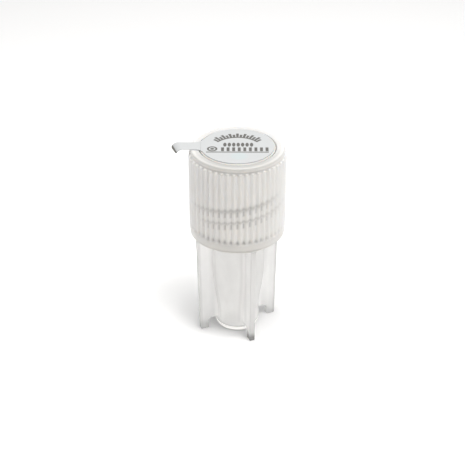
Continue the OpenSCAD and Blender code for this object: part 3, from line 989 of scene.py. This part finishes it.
def make_liquid(material):
    """The dose: liquid round and under the spike, with a raised edge where it wets the walls."""
    outer, inner = LIQUID_HIGH[0], SPIKE_HOLE_R
    low, high = LIQUID_LOW[2] + 0.02, LIQUID_HIGH[2]
    spike_z = PLUNGER_LOW[2] - 0.1
    corners = [
        (0, low, 0),
        (outer, low, 0.1),
        (outer, high, 0.02),
        (outer - 0.9, high - 0.35, 0.8),
        (inner + 0.7, high - 0.35, 0.6),
        (inner, high - 0.05, 0.02),
        (inner, spike_z, 0.1),
        (0, spike_z, 0),
    ]
    verts, faces = lathe(rounded(corners, step=0.4, closed=False))
    node = "growth_medium"
    liquid = finish_mesh("liquid_dose", verts, faces, "plug", material, 50.0, [node])
    left = (high - low - PRESS_TRAVEL) / (high - low)
    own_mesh(liquid)
    return liquid


def make_filter(material):
    low, high = FILTER_LOW[2], FILTER_HIGH[2]
    outer = FILTER_HIGH[0]
    corners = [(FILTER_BORE_R, low, 0.1), (outer, low, 0.1), (outer, high, 0.1), (FILTER_BORE_R, high, 0.1)]
    verts, faces = lathe(rounded(corners, step=0.2))
    return finish_mesh("filter_ring", verts, faces, "plug", material, 60.0, ["vent_filter"])


def make_spike(material):
    """Hollow needle with a slant-cut end, built as a tube whose lower rim follows the slant."""
    low = PLUNGER_LOW[2]
    root_z = PLUNGER_HIGH[2] - PISTON_H + 0.1
    columns = 96
    angles = np.linspace(0, 2 * math.pi, columns, endpoint=False)
    down, up = np.linspace(1, 0, 24), np.linspace(0, 1, 24)
    rows = []
    for radius, shares in ((SPIKE_R, down), (SPIKE_BORE_R, up)):
        rim = low + (1 + np.cos(angles) * radius / SPIKE_R) * SPIKE_R
        for share in shares:
            height = rim + (root_z - rim) * share
            rows.append(np.stack([radius * np.cos(angles), radius * np.sin(angles), height], -1))
    verts = np.concatenate(rows)
    faces = grid_faces(len(rows), columns, True)
    return finish_mesh("plunger_spike", verts, faces, "plunger", material, 40.0)


def make_plunger(material):
    """The plunger's head: a piston with a groove for its seal, a dished top and a small centre boss."""
    top, r = PLUNGER_HIGH[2], PISTON_R
    low = top - PISTON_H
    groove_r = r - 0.5
    groove_low, groove_high = (top + low) / 2 - 0.45, (top + low) / 2 + 0.45
    dish_z, boss_z = top - 0.5, top - 0.3
    corners = [
        (0, low, 0),
        (r - 0.2, low, 0.1),
        (r, low + 0.2, 0.1),
        (r, groove_low, 0.06),
        (groove_r, groove_low, 0.06),
        (groove_r, groove_high, 0.06),
        (r, groove_high, 0.06),
        (r, top, 0.22),
        (4.3, top, 0.2),
        (3.8, dish_z, 0.3),
        (1.2, dish_z, 0.2),
        (1.0, boss_z, 0.15),
        (0, boss_z, 0),
    ]
    verts, faces = lathe(rounded(corners, step=0.4, closed=False))
    return finish_mesh("plunger_head", verts, faces, "plunger", material, 40.0, ["plunger"])


def make_seal(material):
    low, high = SEAL_LOW[2], SEAL_HIGH[2]
    outer = SEAL_HIGH[0]
    corners = [(SEAL_BORE_R, low, 0.2), (outer, low, 0.38), (outer, high, 0.38), (SEAL_BORE_R, high, 0.2)]
    verts, faces = lathe(rounded(corners, step=0.2, arc_steps=8))
    node = "plunger_seal"
    return finish_mesh("plunger_ring", verts, faces, "plunger", material, 60.0, [node])


def make_carrier(material):
    low, high = DISC_LOW[2], DISC_HIGH[2]
    centre = (DISC_LOW + DISC_HIGH) / 2
    r = (DISC_HIGH[0] - DISC_LOW[0]) / 2
    corners = [(0, low, 0), (r, low, 0.08), (r, high, 0.08), (0, high, 0)]
    verts, faces = lathe(rounded(corners, step=0.25, closed=False))
    verts = verts + [centre[0], centre[1], 0]
    return finish_mesh("test_disc", verts, faces, "vial", material, 50.0, ["spore_carrier"])


# ---------------------------------------------------------------- stage

# The camera, in millimetres and degrees, and the sky's strength overhead, at the horizon and to the right
CAMERA_BACK = 224.7
CAMERA_HEIGHT = 160.4
CAMERA_PITCH = 31.56
CAMERA_YAW = 0.257
CAMERA_LENS = 96.8
SKY_TOP = 0.05
SKY_HORIZON = 0.80
SKY_SIDE = 0.11


def make_floor():
    bpy.ops.mesh.primitive_plane_add(size=6.0)
    floor = bpy.context.object
    floor.name = "floor"
    look = Look("floor", (0.98, 0.98, 0.98), 0.75)
    look.set("Specular IOR Level", 0.15)
    look.set("Emission Color", (1.0, 1.0, 1.0, 1.0))
    look.set("Emission Strength", 0.055)
    floor.data.materials.append(look.material)


def make_sky():
    """Soft surround that is brightest at the horizon and a little brighter on the right."""
    world = bpy.data.worlds.new("studio")
    world.use_nodes = True
    tree = world.node_tree
    back = tree.nodes["Background"]
    place = tree.nodes.new("ShaderNodeTexCoord")
    split = tree.nodes.new("ShaderNodeSeparateXYZ")
    tree.links.new(place.outputs["Generated"], split.inputs[0])
    height = Field(tree, split.outputs[2]).clamp()
    rightward = Field(tree, split.outputs[0])
    strength = (height * (SKY_TOP - SKY_HORIZON) + SKY_HORIZON) * (rightward * SKY_SIDE + 1.0)
    tree.links.new(strength.socket, back.inputs["Strength"])
    back.inputs["Color"].default_value = (0.985, 0.99, 1.0, 1.0)
    bpy.context.scene.world = world


def area_light(name, place, size, energy, color):
    """A round soft light in metres and watts, turned towards the vial."""
    data = bpy.data.lights.new(name, "AREA")
    data.shape = "DISK"
    data.size = size
    data.energy = energy
    data.color = color
    light = bpy.data.objects.new(name, data)
    light.location = place
    target = np.array([0, 0, 0.02]) - np.array(place)
    direction = Vector(target.tolist())
    light.rotation_euler = direction.to_track_quat("-Z", "Y").to_euler()
    bpy.context.scene.collection.objects.link(light)


def make_camera():
    data = bpy.data.cameras.new("camera")
    data.lens = CAMERA_LENS
    data.sensor_width = 36.0
    data.clip_start = 0.01
    data.clip_end = 20.0
    camera = bpy.data.objects.new("camera", data)
    camera.location = (0, -CAMERA_BACK * MM, CAMERA_HEIGHT * MM)
    camera.rotation_euler = (math.radians(90 - CAMERA_PITCH), 0, math.radians(CAMERA_YAW))
    bpy.context.scene.collection.objects.link(camera)
    bpy.context.scene.camera = camera


def make_stage():
    make_floor()
    make_sky()
    area_light("overhead", (-0.02, -0.015, 0.45), 0.14, 1.05, (1.0, 0.99, 0.97))
    area_light("side", (0.10, -0.10, 0.44), 0.16, 1.07, (1.0, 0.99, 0.98))
    make_camera()
    scene = bpy.context.scene
    scene.view_settings.view_transform = "Standard"
    scene.cycles.max_bounces = 24
    scene.cycles.transmission_bounces = 20
    scene.cycles.transparent_max_bounces = 16


make_vial(clear_polymer())
make_carrier(felt("carrier_paper", (0.46, 0.47, 0.44)))
make_ring(natural_polymer())
make_plug(moulded("cup_polymer", (0.62, 0.61, 0.585), 0.45, 0.3))
make_foil(foil())
make_liquid(pale_liquid())
make_filter(felt("filter_felt", (0.88, 0.88, 0.86)))
plunger_polymer = moulded("plunger_polymer", (0.56, 0.57, 0.56), 0.4)
make_plunger(plunger_polymer)
make_spike(plunger_polymer)
make_seal(elastomer())
make_label(label_film("label_film"))
make_tab(label_film("tab_film"))
make_stage()
